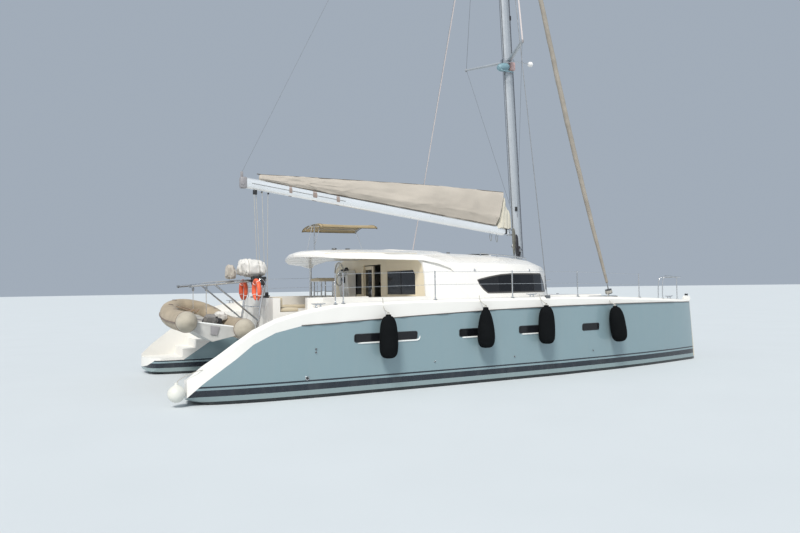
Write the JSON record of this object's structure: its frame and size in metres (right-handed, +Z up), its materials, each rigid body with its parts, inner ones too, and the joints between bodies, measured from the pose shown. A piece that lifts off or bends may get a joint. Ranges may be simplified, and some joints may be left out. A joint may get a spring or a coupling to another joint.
{
  "type": "sailing catamaran",
  "caption": "Cruising sailing catamaran afloat, with cabin, hardtop over the cockpit, stowed mainsail on the boom, furled headsail and a tender on stern davits.",
  "frame": {"origin": "on the centreline amidships at the waterline, at the mount named water", "axes": "+X forward to the bows, +Y to port, +Z up"},
  "size_m": [13.3172, 7.1801, 19.92],
  "materials": {
    "topsides": "glossy gelcoat, pale grey-blue",
    "gelcoat": "glossy gelcoat, warm white",
    "cream": "satin cream panel",
    "antifouling": "matt bottom paint",
    "steel": "polished stainless steel",
    "alloy": "anodised",
    "boom": "white painted",
    "cast": "painted block",
    "bronze": "bare",
    "glass": "tinted",
    "hatch": "tinted",
    "net": "woven net",
    "canvas": "weathered canvas",
    "sail": "rolled cloth",
    "sunshade": "canvas",
    "fender": "knitted cover",
    "tube": "weathered coated cloth",
    "tender": "worn moulding",
    "cushion": "seat cloth"
  },
  "bodies": {
    "hull": {"hull_stbd": "topsides", "hull_port": "topsides", "deck_stbd": "gelcoat", "deck_port": "gelcoat", "bridgedeck": "gelcoat", "cockpit": "gelcoat", "cabin": "gelcoat", "hardtop": "gelcoat", "helm_station": "gelcoat", "longeron": "gelcoat", "keel_stbd": "antifouling", "keel_port": "antifouling", "saildrive_stbd": "alloy", "saildrive_port": "alloy", "mast": "alloy", "crossbeam": "alloy", "engine_stbd": "cast", "engine_port": "cast", "side_window_stbd": "glass", "side_window_port": "glass", "front_window_stbd": "glass", "front_window_port": "glass", "aft_window_stbd": "glass", "aft_window_port": "glass", "roof_post": "steel", "guard_rail_stbd": "steel", "guard_rail_port": "steel", "shroud_stbd": "steel", "shroud_port": "steel", "sunshade_frame": "steel", "furler": "steel", "davits": "steel", "trampoline_stbd": "net", "trampoline_port": "net", "bulkhead": "cream", "helm_seat": "cushion", "sunshade": "sunshade", "headsail": "sail", "tender_tubes": "tube", "tender_hull": "tender", "fender_1": "fender", "fender_2": "fender", "fender_3": "fender", "fender_4": "fender"},
    "rudder_stbd": {"rudder_stbd": "antifouling"},
    "rudder_port": {"rudder_port": "antifouling"},
    "wheel": {"steering_wheel": "steel"},
    "propeller_stbd": {"propeller_stbd": "bronze"},
    "propeller_port": {"propeller_port": "bronze"},
    "boom": {"boom": "boom", "sail_cover": "canvas"},
    "saloon_door": {"saloon_door": "glass"},
    "deck_hatch_stbd": {"deck_hatch_stbd": "hatch"},
    "deck_hatch_port": {"deck_hatch_port": "hatch"},
    "engine_lid_stbd": {"engine_lid_stbd": "gelcoat"},
    "engine_lid_port": {"engine_lid_port": "gelcoat"},
    "roof_hatch": {"roof_hatch": "hatch"}
  },
  "joints": [
    {"name": "wheel_turn", "type": "hinge", "parent": "hull", "child": "wheel", "pos_m": [-1.985, 1.38, 2.395], "axis": [1, 0, 0], "range_deg": [-350, 350]},
    {"name": "rudder_stbd_turn", "type": "hinge", "parent": "hull", "child": "rudder_stbd", "pos_m": [-5.3, -2.59, -0.45], "axis": [0, 0, 1], "range_deg": [-35, 35]},
    {"name": "rudder_port_turn", "type": "hinge", "parent": "hull", "child": "rudder_port", "pos_m": [-5.3, 2.59, -0.45], "axis": [0, 0, 1], "range_deg": [-35, 35]},
    {"name": "propeller_stbd_spin", "type": "hinge", "parent": "hull", "child": "propeller_stbd", "pos_m": [-4.7, -2.59, -0.82], "axis": [1, 0, 0], "continuous": true},
    {"name": "propeller_port_spin", "type": "hinge", "parent": "hull", "child": "propeller_port", "pos_m": [-4.7, 2.59, -0.82], "axis": [1, 0, 0], "continuous": true},
    {"name": "boom_swing", "type": "hinge", "parent": "hull", "child": "boom", "pos_m": [2.48, 0, 3.495], "axis": [0, 0, 1], "range_deg": [-58, 58]},
    {"name": "saloon_door_slide", "type": "slide", "parent": "hull", "child": "saloon_door", "axis": [0, 1, 0], "range_m": [-0.52, 0]},
    {"name": "deck_hatch_stbd_lift", "type": "hinge", "parent": "hull", "child": "deck_hatch_stbd", "pos_m": [3.65, -2.59, 1.735], "axis": [0, 1, 0], "range_deg": [0, 85]},
    {"name": "deck_hatch_port_lift", "type": "hinge", "parent": "hull", "child": "deck_hatch_port", "pos_m": [3.65, 2.59, 1.735], "axis": [0, 1, 0], "range_deg": [0, 85]},
    {"name": "engine_lid_stbd_lift", "type": "hinge", "parent": "hull", "child": "engine_lid_stbd", "pos_m": [-4.04, -2.59, 1.465], "axis": [0, 1, 0], "range_deg": [0, 80]},
    {"name": "engine_lid_port_lift", "type": "hinge", "parent": "hull", "child": "engine_lid_port", "pos_m": [-4.04, 2.59, 1.465], "axis": [0, 1, 0], "range_deg": [0, 80]},
    {"name": "roof_hatch_lift", "type": "hinge", "parent": "hull", "child": "roof_hatch", "pos_m": [1.65, 0, 2.873], "axis": [0, 1, 0], "range_deg": [0, 80]}
  ],
  "couplings": [
    {"joint": "rudder_stbd_turn", "follows": "wheel_turn", "ratio": 0.1},
    {"joint": "rudder_port_turn", "follows": "wheel_turn", "ratio": 0.1}
  ]
}
